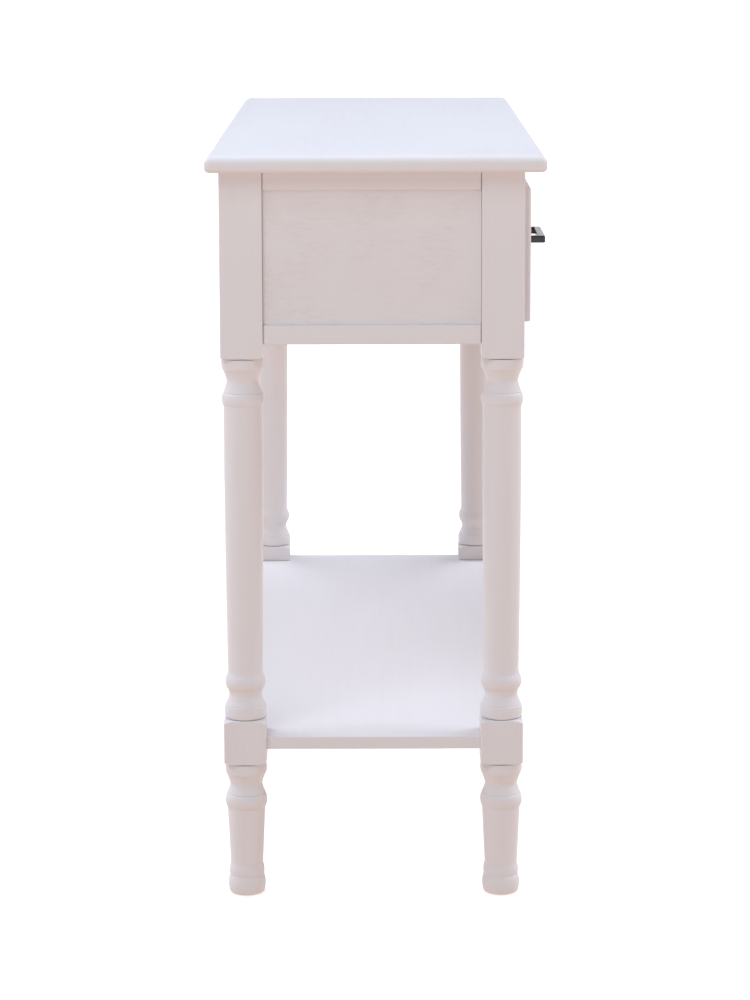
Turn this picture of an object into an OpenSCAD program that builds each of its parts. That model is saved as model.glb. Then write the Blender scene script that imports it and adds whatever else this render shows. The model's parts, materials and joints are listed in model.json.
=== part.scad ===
// Console table with two drawers, four turned legs and a lower shelf.
// X runs along the length, the drawers face -Y and the floor is Z = 0.
// Y = 0 is halfway between the back edge of the top and the front of the pulls.
// Left and right are as seen by a person who faces the drawers.

/* [Overall] */
// Length of the top
top_length = 1000; // [900:5:1200]
// Depth of the top
top_depth = 355; // [345:5:400]
// Height of the table
table_height = 800; // [760:5:850]

/* [Top] */
// Thickness of the top
top_thickness = 18; // [18:1:25]
// Radius along the upper edge of the top
top_upper_round = 7; // [3:0.5:9]
// Radius along the lower edge of the top
top_lower_round = 3.5; // [1:0.5:6]
// Overhang of the top past the posts at each end
end_overhang = 20; // [10:1:40]
// Overhang of the top past the back posts
back_overhang = 14; // [8:1:24]
// Overhang of the top past the front posts
front_overhang = 22; // [15:1:28]

/* [Legs] */
// Width of the square posts and blocks
leg_width = 45; // [45:1:50]
// Length of the square post at the top of each leg
post_length = 197.5; // [190:0.5:205]
// Height of the square block that holds the shelf
block_height = 49.5; // [45:0.5:60]
// Height of the turned foot, glide included
foot_height = 146.5; // [120:0.5:170]
// Thickness of the glide under each foot
glide_thickness = 1.5; // [1:0.5:3]
// Radius of the glide
glide_radius = 12; // [8:0.5:14]

/* [Case] */
// Height of the case from the underside of the top
case_height = 181.5; // [175:0.5:188]
// Distance of the rails behind the faces of the posts
rail_setback = 2.5; // [1:0.5:4]
// Thickness of the rails
rail_thickness = 18; // [18:1:22]
// Distance of the panels behind the faces of the posts
panel_setback = 6; // [5:0.5:8]
// Thickness of the panels
panel_thickness = 6; // [4:0.5:6]
// Depth of the grooves that hold the panels and the rails' tongues
groove_depth = 8; // [6:0.5:9]
// Height of the top rail at the ends and the back
side_top_rail = 19.5; // [18:0.5:24]
// Height of the bottom rail at the ends and the back
side_bottom_rail = 20.5; // [18:0.5:24]
// Height of the rail above the drawers
front_top_rail = 18.5; // [16:0.5:20]
// Height of the rail below the drawers
front_bottom_rail = 15.5; // [14:0.5:20]
// Width of the stile between the drawers
stile_width = 45; // [40:1:60]
// Thickness of the partition behind the stile
partition_thickness = 18; // [15:1:20]

/* [Shelf] */
// Thickness of the shelf
shelf_thickness = 13.5; // [12:0.5:18]
// Height of the shelf's underside above the underside of the blocks
shelf_rise = 16.5; // [12:0.5:20]
// Distance of the shelf's edges inside the faces of the blocks
shelf_inset = 8; // [5:0.5:10]

/* [Drawers] */
// Gap around the drawer fronts
drawer_gap = 2.2; // [1.5:0.1:3]
// Distance that the drawer fronts stand out past the posts
drawer_proud = 8.5; // [4:0.5:10]
// Thickness of the drawer fronts
drawer_front_thickness = 18; // [16:1:20]
// Radius along the edges of the drawer fronts
drawer_front_round = 3; // [1:0.5:4]
// Height of the drawer sides
drawer_side_height = 110; // [90:1:118]
// Thickness of the drawer sides and backs
drawer_side_thickness = 12; // [12:1:14]
// Length of the drawer sides behind the drawer front
drawer_side_length = 276; // [240:1:278]
// Thickness of the drawer bottoms
drawer_bottom_thickness = 4; // [3:0.5:5]

/* [Pulls] */
// Distance between the two arms of a pull
pull_centres = 96; // [64:32:128]
// Width of a pull's square bar
pull_bar = 8; // [7:0.5:10]
// Distance that a pull stands out from the drawer front
pull_projection = 23.5; // [20:0.5:28]

/* [Hidden] */
$fn = 48;

// Steps in each rounded stretch of an outline
arc_steps = 5;
// Leg width that the turned outlines are drawn for
outline_leg_width = 45;
turning_scale = leg_width / outline_leg_width;

// Fixings
stud_radius = 4;
stud_reach = 30;
screw_radius = 2;
screw_head_radius = 4;
screw_head_height = 2.5;
nail_radius = 1.5;
nail_length = 12;
bore_clearance = 0.15;

// Turned shoulders on the square posts and blocks
post_shoulder = 3;
block_shoulder = 6;
pommel_bulge = 1.8;

// Places along X, for the right half of the table
leg_outer_x = top_length / 2 - end_overhang;
leg_x = leg_outer_x - leg_width / 2;
leg_inner_x = leg_outer_x - leg_width;
stile_x = stile_width / 2;
partition_x = partition_thickness / 2;
drawer_x = (leg_inner_x + stile_x) / 2;

// Places along Y
pull_past_top = drawer_proud + pull_projection - front_overhang;
top_back_y = (top_depth + pull_past_top) / 2;
top_front_y = top_back_y - top_depth;
top_mid_y = (top_back_y + top_front_y) / 2;
leg_back_y = top_back_y - back_overhang;
leg_front_y = top_front_y + front_overhang;
back_axis_y = leg_back_y - leg_width / 2;
front_axis_y = leg_front_y + leg_width / 2;
front_post_inner_y = leg_front_y + leg_width;
back_post_inner_y = leg_back_y - leg_width;
front_rail_y = leg_front_y + rail_setback;
back_rail_y = leg_back_y - rail_setback;
front_rail_inner_y = front_rail_y + rail_thickness;
back_rail_inner_y = back_rail_y - rail_thickness;
end_rail_x = leg_outer_x - rail_setback;
end_rail_inner_x = end_rail_x - rail_thickness;

// Levels
top_under_z = table_height - top_thickness;
post_under_z = top_under_z - post_length;
case_under_z = top_under_z - case_height;
block_under_z = foot_height;
block_top_z = foot_height + block_height;
shelf_z = block_under_z + shelf_rise;
shelf_top_z = shelf_z + shelf_thickness;
column_length = post_under_z - block_top_z;
opening_z = case_under_z + front_bottom_rail;
opening_height = case_height - front_top_rail - front_bottom_rail;
opening_top_z = opening_z + opening_height;

// Planes of the grooves, measured in from the faces of the posts
panel_end_x = leg_outer_x - panel_setback - panel_thickness;
panel_back_y = leg_back_y - panel_setback - panel_thickness;
tongue_thickness = panel_thickness;
front_tongue_y = leg_front_y + panel_setback + rail_setback;
panel_clearance = 0.5;

// Drawers
opening_width = leg_inner_x - stile_x;
drawer_front_width = opening_width - 2 * drawer_gap;
drawer_front_height = opening_height - 2 * drawer_gap;
drawer_front_y = leg_front_y - drawer_proud;
drawer_front_back_y = drawer_front_y + drawer_front_thickness;
drawer_front_z = opening_z + drawer_gap;
box_clearance = 3;
box_width = opening_width - 2 * box_clearance;
box_dado = 6;
box_z = opening_z + 9;
box_top_z = box_z + drawer_side_height;
box_back_y = drawer_front_back_y + drawer_side_length;
drawer_bottom_z = box_z + 8;
drawer_bottom_groove = 5;
drawer_back_dado = 5;
drawer_back_inset = 3;
drawer_back_y = box_back_y - drawer_back_inset - drawer_side_thickness;

// Runners and the grooves that slide on them
runner_height = 12;
runner_groove_height = 13;
runner_groove_depth = 6;
runner_top_gap = 0.3;
runner_tip_gap = 0.5;
runner_reach = box_clearance + runner_groove_depth - runner_tip_gap;
runner_groove_z = box_z + (drawer_side_height - runner_groove_height) / 2;
runner_z = runner_groove_z + runner_groove_height - runner_top_gap - runner_height;
runner_front_y = drawer_front_back_y + 5;
runner_back_y = back_rail_inner_y - 2;
runner_screw_y = [front_axis_y + 10, back_axis_y - 10];
runner_screw_bite = 18;
cleat_margin = 14;
cleat_thickness = stile_x - partition_x;

// Corner braces
brace_thickness = 18;
brace_arm = 36;
brace_screw_inset = 14;
top_screw_bite = 11;

// Pulls
pull_round = 2;
pull_z = drawer_front_z + drawer_front_height / 2;
pull_screw_bite = 12;

// ---------- outlines ----------

// Points of an arc from a up to, but not including, b. The bulge is the height
// of the arc over its chord, positive on the right-hand side of the way to b.
function arc_points(a, b, bulge) =
    bulge == 0 ? [a] :
    let (
        chord = norm(b - a),
        along = (b - a) / chord,
        out = sign(bulge) * [along[1], -along[0]],
        rise = abs(bulge),
        radius = (chord * chord / 4 + rise * rise) / (2 * rise),
        half_angle = 2 * atan(2 * rise / chord)
    )
    [
        for (i = [0 : arc_steps - 1])
        let (turn = half_angle * (2 * i / arc_steps - 1))
        (a + b) / 2 + along * radius * sin(turn) + out * (radius * cos(turn) - radius + rise)
    ];

// A turned outline. Each row is [height, radius, bulge of the stretch above].
function turned_outline(rows) = concat(
    [[0, rows[0][0]]],
    [
        for (i = [0 : len(rows) - 2])
        each arc_points(
            [rows[i][1] * turning_scale, rows[i][0]],
            [rows[i + 1][1] * turning_scale, rows[i + 1][0]],
            rows[i][2]
        )
    ],
    [
        [rows[len(rows) - 1][1] * turning_scale, rows[len(rows) - 1][0]],
        [0, rows[len(rows) - 1][0]]
    ]
);

// A quarter circle about a centre, from the given angle
function quarter(centre, radius, start) = [
    for (i = [0 : arc_steps])
    centre + radius * [cos(start + 90 * i / arc_steps), sin(start + 90 * i / arc_steps)]
];

// Cross-section of a board, centred on its width, with its face side up
function board_outline(width, thickness, upper, lower) = concat(
    quarter([width / 2 - upper, thickness - upper], upper, 0),
    quarter([upper - width / 2, thickness - upper], upper, 90),
    quarter([lower - width / 2, lower], lower, 180),
    quarter([width / 2 - lower, lower], lower, 270)
);

// Column between the block and the post
column_rows = [
    [0, 21.9, 1],                           // lower torus
    [11, 22.1, 0],
    [11.4, 21.6, -0.3],                     // hollow
    [23.5, 17.6, -0.4],                     // lower neck
    [32, 19.7, 2.3],                        // lower bead
    [48.5, 19, 0],
    [51, 18.7, 0.6],                        // shaft
    [column_length - 54, 20.9, 2.2],        // upper bead
    [column_length - 38, 21.2, -0.3],
    [column_length - 25.5, 17.3, -0.5],     // upper neck
    [column_length - 13.4, 21.8, 0],
    [column_length - 13, 22.2, 1.2],        // upper torus
    [column_length, 22.3, 0]
];

// Foot, from the top of its glide to the underside of the block
foot_rows = [
    [glide_thickness, 16.5, 0.8],           // rounded floor edge
    [4.5, 19.2, 1.2],                       // bun
    [20.5, 18.8, 0],
    [20.9, 18.3, 0.8],                      // small bead
    [33, 17.9, 0],
    [35, 17.5, 0],                          // tapered shaft
    [foot_height - 51, 20.2, 1.9],          // bead
    [foot_height - 34, 21.4, -0.2],
    [foot_height - 24.5, 17.7, -0.3],       // neck
    [foot_height - 12.4, 21.2, 0],
    [foot_height - 12, 21.7, 0.8],          // torus
    [foot_height, 21.7, 0]
];

// ---------- shared shapes ----------

// Box given by two opposite corners
module span(low, high) {
    translate(low)
    cube(high - low);
}

// Board lying flat with its face up, its long edges rounded and mitred round
module moulded_board(length, width, thickness, upper, lower) {
    intersection() {
        rotate([90, 0, 0])
        linear_extrude(height = 2 * width, center = true)
        polygon(board_outline(length, thickness, upper, lower));
        rotate([90, 0, 90])
        linear_extrude(height = 2 * length, center = true)
        polygon(board_outline(width, thickness, upper, lower));
    }
}

// Barrel that takes the corners off a square leg at its turned ends
module pommel(z, height, top_shoulder, bottom_shoulder) {
    end_radius = 0.48 * leg_width;
    full_radius = 0.74 * leg_width;
    translate([0, 0, z])
    rotate_extrude()
    polygon(concat(
        [[0, 0]],
        arc_points([end_radius, 0], [full_radius, bottom_shoulder], pommel_bulge),
        [[full_radius, bottom_shoulder]],
        arc_points([full_radius, height - top_shoulder], [end_radius, height], pommel_bulge),
        [[end_radius, height], [0, height]]
    ));
}

// Bore for a stud or screw, upwards from z
module bore(x, y, z, radius, depth) {
    translate([x, y, z])
    cylinder(r = radius + bore_clearance, h = depth);
}

// A copy of a piece on the axis of each of the four legs
module at_legs() {
    for (side = [-1, 1]) {
        for (y = [front_axis_y, back_axis_y]) {
            translate([side * leg_x, y, 0])
            children();
        }
    }
}

// The left-hand twin of a right-hand piece
module left_half() {
    mirror([1, 0, 0])
    children();
}

// ---------- top ----------

module table_top() {
    color("white")
    difference() {
        translate([0, top_mid_y, top_under_z])
        moulded_board(top_length, top_depth, top_thickness, top_upper_round, top_lower_round);
        for (place = brace_screw_places())
            bore(place[0], place[1], top_under_z - 1, screw_radius, top_screw_bite + 1);
    }
}

// ---------- posts ----------

// Post whose corners are turned off at the bottom end only
module square_post(axis_y) {
    translate([leg_x, axis_y, 0])
    intersection() {
        translate([-leg_width / 2, -leg_width / 2, post_under_z])
        cube([leg_width, leg_width, post_length]);
        pommel(post_under_z, post_length + 1, 1, post_shoulder);
    }
}

// Groove in a post for the end panel and the tongues of the end rails
module end_groove(low_y, high_y) {
    span(
        [panel_end_x, low_y, case_under_z],
        [panel_end_x + panel_thickness, high_y, top_under_z + 1]
    );
}

module post_front() {
    mortise_end_x = leg_inner_x + groove_depth;
    color("white")
    difference() {
        square_post(front_axis_y);
        end_groove(front_post_inner_y - groove_depth, front_post_inner_y + 1);
        span(
            [leg_inner_x - 1, front_tongue_y, case_under_z],
            [mortise_end_x, front_tongue_y + tongue_thickness, opening_z]
        );
        span(
            [leg_inner_x - 1, front_tongue_y, opening_top_z],
            [mortise_end_x, front_tongue_y + tongue_thickness, top_under_z + 1]
        );
        bore(leg_x, front_axis_y, post_under_z - 1, stud_radius, stud_reach + 1);
        runner_screw_bore(runner_screw_y[0]);
    }
}

module post_back() {
    color("white")
    difference() {
        square_post(back_axis_y);
        end_groove(back_post_inner_y - 1, back_post_inner_y + groove_depth);
        span(
            [leg_inner_x - 1, panel_back_y, case_under_z],
            [leg_inner_x + groove_depth, panel_back_y + panel_thickness, top_under_z + 1]
        );
        bore(leg_x, back_axis_y, post_under_z - 1, stud_radius, stud_reach + 1);
        runner_screw_bore(runner_screw_y[1]);
    }
}

// ---------- rails and panels ----------

// Rail along X with a tongue at each end
module long_rail(y, tongue_y, z, height) {
    span([-leg_inner_x, y, z], [leg_inner_x, y + rail_thickness, z + height]);
    span(
        [-leg_inner_x - groove_depth, tongue_y, z],
        [leg_inner_x + groove_depth, tongue_y + tongue_thickness, z + height]
    );
}

// Mortise for the tongue at either end of the stile
module stile_mortise(z) {
    span(
        [groove_depth - stile_x, front_tongue_y, z],
        [stile_x - groove_depth, front_tongue_y + tongue_thickness, z + groove_depth + 1]
    );
}

module front_top_rail() {
    color("white")
    difference() {
        long_rail(front_rail_y, front_tongue_y, opening_top_z, front_top_rail);
        stile_mortise(opening_top_z - 1);
    }
}

module front_bottom_rail() {
    color("white")
    difference() {
        long_rail(front_rail_y, front_tongue_y, case_under_z, front_bottom_rail);
        stile_mortise(opening_z - groove_depth);
    }
}

module front_stile() {
    color("white") {
        span([-stile_x, front_rail_y, opening_z], [stile_x, front_rail_inner_y, opening_top_z]);
        span(
            [groove_depth - stile_x, front_tongue_y, opening_z - groove_depth],
            [stile_x - groove_depth, front_tongue_y + tongue_thickness, opening_top_z + groove_depth]
        );
    }
}

module back_top_rail() {
    rail_z = top_under_z - side_top_rail;
    color("white")
    difference() {
        long_rail(back_rail_inner_y, panel_back_y, rail_z, side_top_rail);
        span(
            [-leg_inner_x - groove_depth - 1, panel_back_y, rail_z - 1],
            [leg_inner_x + groove_depth + 1, panel_back_y + panel_thickness, rail_z + groove_depth]
        );
    }
}

module back_bottom_rail() {
    rail_top_z = case_under_z + side_bottom_rail;
    color("white")
    difference() {
        long_rail(back_rail_inner_y, panel_back_y, case_under_z, side_bottom_rail);
        span(
            [-leg_inner_x - groove_depth - 1, panel_back_y, rail_top_z - groove_depth],
            [leg_inner_x + groove_depth + 1, panel_back_y + panel_thickness, rail_top_z + 1]
        );
    }
}

module back_panel() {
    reach = groove_depth - panel_clearance;
    color("white")
    span(
        [-leg_inner_x - reach, panel_back_y, case_under_z + side_bottom_rail - reach],
        [leg_inner_x + reach, panel_back_y + panel_thickness, top_under_z - side_top_rail + reach]
    );
}

// Rail of the right end with a tongue at each end and a groove along one edge
module end_rail(z, height, groove_z) {
    color("white")
    difference() {
        union() {
            span(
                [end_rail_inner_x, front_post_inner_y, z],
                [end_rail_x, back_post_inner_y, z + height]
            );
            span(
                [panel_end_x, front_post_inner_y - groove_depth, z],
                [panel_end_x + tongue_thickness, back_post_inner_y + groove_depth, z + height]
            );
        }
        span(
            [panel_end_x, front_post_inner_y - groove_depth - 1, groove_z],
            [panel_end_x + panel_thickness, back_post_inner_y + groove_depth + 1, groove_z + groove_depth + 1]
        );
    }
}

module end_top_rail() {
    rail_z = top_under_z - side_top_rail;
    end_rail(rail_z, side_top_rail, rail_z - 1);
}

module end_bottom_rail() {
    end_rail(case_under_z, side_bottom_rail, case_under_z + side_bottom_rail - groove_depth);
}

module end_panel() {
    reach = groove_depth - panel_clearance;
    color("white")
    span(
        [panel_end_x, front_post_inner_y - reach, case_under_z + side_bottom_rail - reach],
        [panel_end_x + panel_thickness, back_post_inner_y + reach, top_under_z - side_top_rail + reach]
    );
}

// ---------- partition and runners ----------

module centre_partition() {
    color("burlywood")
    difference() {
        span(
            [-partition_x, front_rail_inner_y, case_under_z],
            [partition_x, back_rail_inner_y, top_under_z]
        );
        centre_screw_bores();
    }
}

module centre_cleats() {
    color("burlywood")
    difference() {
        for (side = [0, 1]) {
            mirror([side, 0, 0])
            span(
                [partition_x, front_rail_inner_y, runner_z - cleat_margin],
                [partition_x + cleat_thickness, back_rail_inner_y, runner_z + runner_height + cleat_margin]
            );
        }
        centre_screw_bores();
    }
}

// Bores for the screws of both centre runners, which end inside the partition
module centre_screw_bores() {
    for (side = [0, 1]) {
        mirror([side, 0, 0])
        for (y = runner_screw_y)
            translate([stile_x + 1, y, runner_z + runner_height / 2])
            rotate([0, -90, 0])
            cylinder(r = screw_radius + bore_clearance, h = runner_screw_bite + 1);
    }
}

// Bore in a post for a screw of the end runner
module runner_screw_bore(y) {
    translate([leg_inner_x - 1, y, runner_z + runner_height / 2])
    rotate([0, 90, 0])
    cylinder(r = screw_radius + bore_clearance, h = runner_screw_bite + 1);
}

module runner_end() {
    color("burlywood")
    difference() {
        span(
            [leg_inner_x - runner_reach, runner_front_y, runner_z],
            [leg_inner_x, runner_back_y, runner_z + runner_height]
        );
        for (y = runner_screw_y)
            translate([leg_inner_x, y, runner_z + runner_height / 2])
            rotate([0, -90, 0])
            runner_countersink();
    }
}

module runner_centre() {
    color("burlywood")
    difference() {
        span(
            [stile_x, runner_front_y, runner_z],
            [stile_x + runner_reach, runner_back_y, runner_z + runner_height]
        );
        for (y = runner_screw_y)
            translate([stile_x, y, runner_z + runner_height / 2])
            rotate([0, 90, 0])
            runner_countersink();
    }
}

// Hole and head recess in a runner, from its fixed face outwards along Z
module runner_countersink() {
    translate([0, 0, -1])
    cylinder(r = screw_radius + bore_clearance, h = runner_reach + 2);
    translate([0, 0, runner_reach - screw_head_height])
    cylinder(r = screw_head_radius + bore_clearance, h = screw_head_height + 1);
}

// Screw with a flat head, its shank running down from the head
module screw(shank) {
    cylinder(r = screw_head_radius, h = screw_head_height);
    translate([0, 0, -shank])
    cylinder(r = screw_radius, h = shank);
}

module runner_screws() {
    shank = runner_reach - screw_head_height + runner_screw_bite;
    color("silver")
    for (side = [0, 1]) {
        mirror([side, 0, 0]) {
            for (y = runner_screw_y) {
                translate([leg_inner_x - runner_reach + screw_head_height, y, runner_z + runner_height / 2])
                rotate([0, -90, 0])
                screw(shank);
                translate([stile_x + runner_reach - screw_head_height, y, runner_z + runner_height / 2])
                rotate([0, 90, 0])
                screw(shank);
            }
        }
    }
}

// ---------- corner braces ----------

// Brace in a right-hand corner; toward is 1 at the front and -1 at the back
module corner_brace(post_y, rail_y, toward) {
    translate([0, 0, top_under_z - brace_thickness])
    linear_extrude(height = brace_thickness)
    polygon([
        [end_rail_inner_x, post_y + toward * brace_arm],
        [end_rail_inner_x, post_y],
        [leg_inner_x, post_y],
        [leg_inner_x, rail_y],
        [leg_inner_x - brace_arm, rail_y]
    ]);
}

function brace_screw_places() = [
    for (side = [-1, 1])
    for (y = [front_post_inner_y + brace_screw_inset, back_post_inner_y - brace_screw_inset])
    [side * (leg_inner_x - brace_screw_inset / 2), y]
];

module corner_braces() {
    color("burlywood")
    difference() {
        for (side = [0, 1]) {
            mirror([side, 0, 0]) {
                corner_brace(front_post_inner_y, front_rail_inner_y, 1);
                corner_brace(back_post_inner_y, back_rail_inner_y, -1);
            }
        }
        for (place = brace_screw_places())
            bore(place[0], place[1], top_under_z - brace_thickness - 1, screw_radius, brace_thickness + 2);
    }
}

module top_screws() {
    color("silver")
    for (place = brace_screw_places())
        translate([place[0], place[1], top_under_z - brace_thickness])
        rotate([180, 0, 0])
        screw(brace_thickness + top_screw_bite);
}

// ---------- legs ----------

module column(axis_y) {
    color("white")
    translate([leg_x, axis_y, block_top_z])
    difference() {
        rotate_extrude()
        polygon(turned_outline(column_rows));
        bore(0, 0, -1, stud_radius, stud_reach + 1);
        bore(0, 0, column_length - stud_reach, stud_radius, stud_reach + 1);
    }
}

module block(axis_y) {
    color("white")
    difference() {
        translate([leg_x, axis_y, 0])
        intersection() {
            translate([-leg_width / 2, -leg_width / 2, block_under_z])
            cube([leg_width, leg_width, block_height]);
            pommel(block_under_z, block_height, block_shoulder, block_shoulder);
        }
        shelf_slab();
        bore(leg_x, axis_y, block_under_z - 1, stud_radius, block_height + 2);
    }
}

module foot(axis_y) {
    color("white")
    translate([leg_x, axis_y, 0])
    difference() {
        rotate_extrude()
        polygon(turned_outline(foot_rows));
        bore(0, 0, foot_height - stud_reach, stud_radius, stud_reach + 1);
        bore(0, 0, glide_thickness - 1, nail_radius, nail_length + 1);
    }
}

module shelf_slab() {
    span(
        [shelf_inset - leg_outer_x, leg_front_y + shelf_inset, shelf_z],
        [leg_outer_x - shelf_inset, leg_back_y - shelf_inset, shelf_top_z]
    );
}

module shelf() {
    color("white")
    difference() {
        shelf_slab();
        at_legs()
        bore(0, 0, shelf_z - 1, stud_radius, shelf_thickness + 2);
    }
}

module upper_studs() {
    color("silver")
    at_legs()
    translate([0, 0, post_under_z - stud_reach])
    cylinder(r = stud_radius, h = 2 * stud_reach);
}

module lower_studs() {
    color("silver")
    at_legs()
    translate([0, 0, block_under_z - stud_reach])
    cylinder(r = stud_radius, h = block_height + 2 * stud_reach);
}

module foot_glides() {
    color("dimgray")
    at_legs() {
        cylinder(r = glide_radius, h = glide_thickness);
        cylinder(r = nail_radius, h = glide_thickness + nail_length);
    }
}

// ---------- right drawer ----------

// Slot in the drawer front and sides that holds the drawer bottom
module drawer_bottom_slot() {
    half = box_width / 2 - drawer_side_thickness + drawer_bottom_groove;
    span(
        [drawer_x - half, drawer_front_back_y - drawer_bottom_groove, drawer_bottom_z],
        [drawer_x + half, box_back_y + 1, drawer_bottom_z + drawer_bottom_thickness]
    );
}

module drawer_front() {
    color("white")
    difference() {
        translate([drawer_x, drawer_front_back_y, pull_z])
        rotate([90, 0, 0])
        moulded_board(
            drawer_front_width, drawer_front_height, drawer_front_thickness, drawer_front_round, 1
        );
        for (side = [-1, 1])
            drawer_side_slab(side);
        drawer_bottom_slot();
        for (side = [-1, 1])
            translate([drawer_x + side * pull_centres / 2, drawer_front_y - 1, pull_z])
            rotate([-90, 0, 0])
            cylinder(r = screw_radius + bore_clearance, h = drawer_front_thickness + 2);
    }
}

// Plain board of a drawer side; side is 1 next to the end and -1 next to the stile
module drawer_side_slab(side) {
    outer_x = drawer_x + side * box_width / 2;
    inner_x = outer_x - side * drawer_side_thickness;
    span(
        [min(outer_x, inner_x), drawer_front_back_y - box_dado, box_z],
        [max(outer_x, inner_x), box_back_y, box_top_z]
    );
}

module drawer_side(side) {
    outer_x = drawer_x + side * box_width / 2;
    groove_x = outer_x - side * runner_groove_depth;
    color("burlywood")
    difference() {
        drawer_side_slab(side);
        span(
            [min(outer_x + side, groove_x), runner_front_y - runner_tip_gap, runner_groove_z],
            [max(outer_x + side, groove_x), box_back_y + 1, runner_groove_z + runner_groove_height]
        );
        drawer_bottom_slot();
        drawer_back_slab();
    }
}

module drawer_back_slab() {
    half = box_width / 2 - drawer_side_thickness + drawer_back_dado;
    span(
        [drawer_x - half, drawer_back_y, drawer_bottom_z + drawer_bottom_thickness],
        [drawer_x + half, drawer_back_y + drawer_side_thickness, box_top_z]
    );
}

module drawer_back() {
    color("burlywood")
    drawer_back_slab();
}

module drawer_bottom() {
    half = box_width / 2 - drawer_side_thickness + drawer_bottom_groove - panel_clearance;
    color("burlywood")
    span(
        [drawer_x - half, drawer_front_back_y - drawer_bottom_groove + panel_clearance, drawer_bottom_z],
        [drawer_x + half, box_back_y - drawer_back_inset, drawer_bottom_z + drawer_bottom_thickness]
    );
}

// Square bar with rounded edges, centred on its own axis, which runs up Z
module pull_rod(length) {
    linear_extrude(height = length)
    translate([0, -pull_bar / 2])
    polygon(board_outline(pull_bar, pull_bar, pull_round, pull_round));
}

module pull() {
    width = pull_centres + pull_bar;
    color("dimgray")
    difference() {
        translate([drawer_x, drawer_front_y, pull_z])
        intersection() {
            union() {
                translate([-width / 2, pull_bar / 2 - pull_projection, 0])
                rotate([90, 0, 90])
                pull_rod(width);
                for (side = [-1, 1])
                    translate([side * pull_centres / 2, 0, 0])
                    rotate([90, 0, 0])
                    pull_rod(pull_projection);
            }
            mirror([0, 1, 0])
            translate([0, -pull_round, -pull_bar])
            linear_extrude(height = 2 * pull_bar)
            polygon(board_outline(width, pull_projection + pull_round, pull_round, 1));
        }
        for (side = [-1, 1])
            translate([drawer_x + side * pull_centres / 2, drawer_front_y + 1, pull_z])
            rotate([90, 0, 0])
            cylinder(r = screw_radius + bore_clearance, h = pull_screw_bite + 1);
    }
}

module pull_screws() {
    color("silver")
    for (side = [-1, 1])
        translate([drawer_x + side * pull_centres / 2, drawer_front_back_y, pull_z])
        rotate([-90, 0, 0])
        screw(drawer_front_thickness + pull_screw_bite);
}

// ---------- pieces ----------

table_top();
left_half() post_front();  // post_front_left
post_front();  // post_front_right
left_half() post_back();  // post_back_left
post_back();  // post_back_right
front_top_rail();
front_bottom_rail();
front_stile();
back_top_rail();
back_bottom_rail();
back_panel();
left_half() end_top_rail();  // end_top_rail_left
end_top_rail();  // end_top_rail_right
left_half() end_bottom_rail();  // end_bottom_rail_left
end_bottom_rail();  // end_bottom_rail_right
left_half() end_panel();  // end_panel_left
end_panel();  // end_panel_right
centre_partition();
centre_cleats();
left_half() runner_end();  // runner_end_left
runner_end();  // runner_end_right
left_half() runner_centre();  // runner_centre_left
runner_centre();  // runner_centre_right
corner_braces();
top_screws();
runner_screws();
left_half() column(front_axis_y);  // column_front_left
column(front_axis_y);  // column_front_right
left_half() column(back_axis_y);  // column_back_left
column(back_axis_y);  // column_back_right
left_half() block(front_axis_y);  // block_front_left
block(front_axis_y);  // block_front_right
left_half() block(back_axis_y);  // block_back_left
block(back_axis_y);  // block_back_right
left_half() foot(front_axis_y);  // foot_front_left
foot(front_axis_y);  // foot_front_right
left_half() foot(back_axis_y);  // foot_back_left
foot(back_axis_y);  // foot_back_right
shelf();
upper_studs();
lower_studs();
foot_glides();
left_half() drawer_front();  // drawer_left_front
left_half() drawer_side(1);  // drawer_left_outer_side
left_half() drawer_side(-1);  // drawer_left_inner_side
left_half() drawer_back();  // drawer_left_back
left_half() drawer_bottom();  // drawer_left_bottom
left_half() pull();  // pull_left
left_half() pull_screws();  // pull_screws_left
drawer_front();  // drawer_right_front
drawer_side(1);  // drawer_right_outer_side
drawer_side(-1);  // drawer_right_inner_side
drawer_back();  // drawer_right_back
drawer_bottom();  // drawer_right_bottom
pull();  // pull_right
pull_screws();  // pull_screws_right
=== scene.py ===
import json
import math

import bmesh
import bpy
from mathutils import Matrix, Vector


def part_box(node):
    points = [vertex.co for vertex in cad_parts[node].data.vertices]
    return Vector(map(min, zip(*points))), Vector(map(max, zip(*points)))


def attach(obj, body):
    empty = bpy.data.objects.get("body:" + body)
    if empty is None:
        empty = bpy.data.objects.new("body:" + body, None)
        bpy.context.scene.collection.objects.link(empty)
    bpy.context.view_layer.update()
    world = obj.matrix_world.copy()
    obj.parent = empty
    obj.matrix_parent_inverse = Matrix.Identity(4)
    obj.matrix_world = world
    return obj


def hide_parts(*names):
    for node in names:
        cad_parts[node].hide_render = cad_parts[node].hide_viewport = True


# The looks of the console table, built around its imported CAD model.
# Everything is in metres in the model's own frame: +X runs along the length, the drawers face -Y
# and the floor is Z = 0. Left and right are as seen by a person who faces the drawers.

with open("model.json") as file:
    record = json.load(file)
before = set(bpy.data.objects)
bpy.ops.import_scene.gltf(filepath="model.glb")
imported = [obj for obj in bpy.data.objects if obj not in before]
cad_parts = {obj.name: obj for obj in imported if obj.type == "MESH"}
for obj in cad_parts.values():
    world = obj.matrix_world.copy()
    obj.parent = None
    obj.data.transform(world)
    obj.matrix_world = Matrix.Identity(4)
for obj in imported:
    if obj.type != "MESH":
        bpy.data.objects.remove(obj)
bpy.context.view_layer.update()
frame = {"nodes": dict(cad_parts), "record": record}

MM = 0.001
CORNERS = ("front_left", "front_right", "back_left", "back_right")
ENDS = ("left", "right")
BODY_OF = {
    node: body
    for body, nodes in frame["record"]["behaviour"]["bodies"].items()
    for node in nodes
}

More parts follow.
